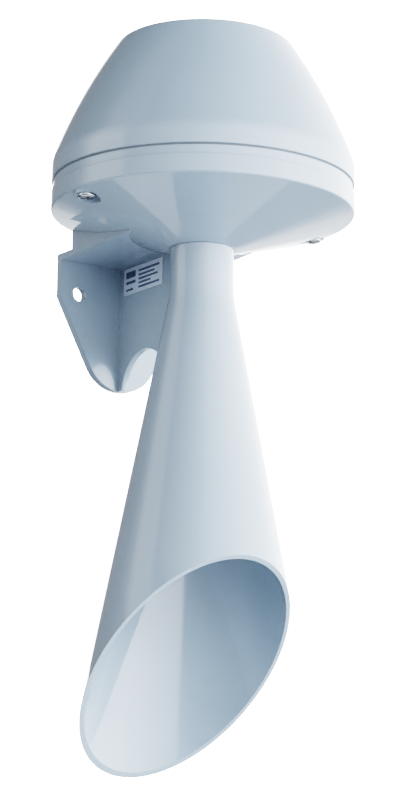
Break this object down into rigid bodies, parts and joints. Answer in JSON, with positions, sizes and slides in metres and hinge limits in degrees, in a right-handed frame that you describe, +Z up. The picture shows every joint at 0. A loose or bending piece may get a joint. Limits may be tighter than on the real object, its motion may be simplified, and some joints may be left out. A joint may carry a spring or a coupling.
{
  "type": "signal horn",
  "caption": "Wall-mounted electric diaphragm signal horn: domed drum housing, long downward trumpet with an obliquely cut mouth, and a cast wall bracket.",
  "frame": {"origin": "midway between the bracket's two wall holes, on the wall plane", "axes": "+Z up, away from the trumpet's mouth; +Y into the wall; +X to the right for someone facing the wall"},
  "size_m": [0.13, 0.131, 0.3126],
  "materials": {
    "grey_paint": "gloss",
    "zinc_plate": "satin",
    "spring_steel": "satin",
    "soft_iron": "matte",
    "brass": "satin",
    "silver_contact": "gloss",
    "copper_wire": "gloss",
    "rubber": "matte",
    "fibre": "matte",
    "moulded_black": "matte",
    "grey_nylon": "matte",
    "capacitor_can": "satin",
    "wire_insulation": "satin",
    "label": "satin"
  },
  "bodies": {
    "root": {"base_housing": "grey_paint", "cover": "grey_paint", "bracket": "grey_paint", "cover_screws": "zinc_plate", "clamp_screws": "zinc_plate", "breaker_screws": "zinc_plate", "bridge_screws": "zinc_plate", "core_bolts": "zinc_plate", "core_nuts": "zinc_plate", "block_screws": "zinc_plate", "earth_screw": "zinc_plate", "earth_washer": "zinc_plate", "breaker_pin": "zinc_plate", "contact_lock_nut": "zinc_plate", "bracket_screws": "zinc_plate", "magnet_bridge": "zinc_plate", "breaker_frame": "zinc_plate", "clamp_ring": "zinc_plate", "diaphragm": "spring_steel", "arm_spring": "spring_steel", "magnet_core": "soft_iron", "cover_inserts": "brass", "terminal_screws": "brass", "coil_winding": "copper_wire", "cover_seal": "rubber", "gland_seal": "rubber", "gland_washer": "rubber", "lower_gasket": "fibre", "upper_gasket": "fibre", "trumpet_washer": "fibre", "contact_block": "fibre", "coil_bobbin": "moulded_black", "terminal_block": "moulded_black", "gland_body": "grey_nylon", "gland_cap": "grey_nylon", "suppression_capacitor": "capacitor_can", "coil_leads": "wire_insulation", "breaker_lead": "wire_insulation", "rating_label": "label"},
    "trumpet": {"trumpet": "grey_paint", "trumpet_o_ring": "rubber", "trumpet_ring_nut": "zinc_plate"},
    "armature": {"armature": "soft_iron", "armature_screw": "zinc_plate", "armature_washers": "zinc_plate"},
    "contact_arm": {"contact_arm": "spring_steel", "contact_rivet": "silver_contact"},
    "contact_screw": {"contact_screw": "brass"}
  },
  "joints": [
    {"name": "trumpet_aim", "type": "hinge", "parent": "root", "child": "trumpet", "pos_m": [0, -0.066, 0.0062], "axis": [0, 0, 1], "range_deg": [-90, 90]},
    {"name": "armature_stroke", "type": "slide", "parent": "root", "child": "armature", "axis": [0, 0, 1], "range_m": [0, 0.0006], "stiffness_N_per_m": 20000, "deforming": ["diaphragm"]},
    {"name": "contact_rock", "type": "hinge", "parent": "root", "child": "contact_arm", "pos_m": [0, -0.1, 0.0412], "axis": [1, 0, 0], "range_deg": [0, 3.5], "deforming": ["arm_spring"]},
    {"name": "contact_screw_turn", "type": "hinge", "parent": "root", "child": "contact_screw", "pos_m": [0, -0.111, 0.0442], "axis": [0, 0, 1], "range_deg": [-180, 180]}
  ],
  "couplings": [
    {"joint": "contact_rock", "follows": "armature_stroke", "rad_per_m": 100}
  ]
}
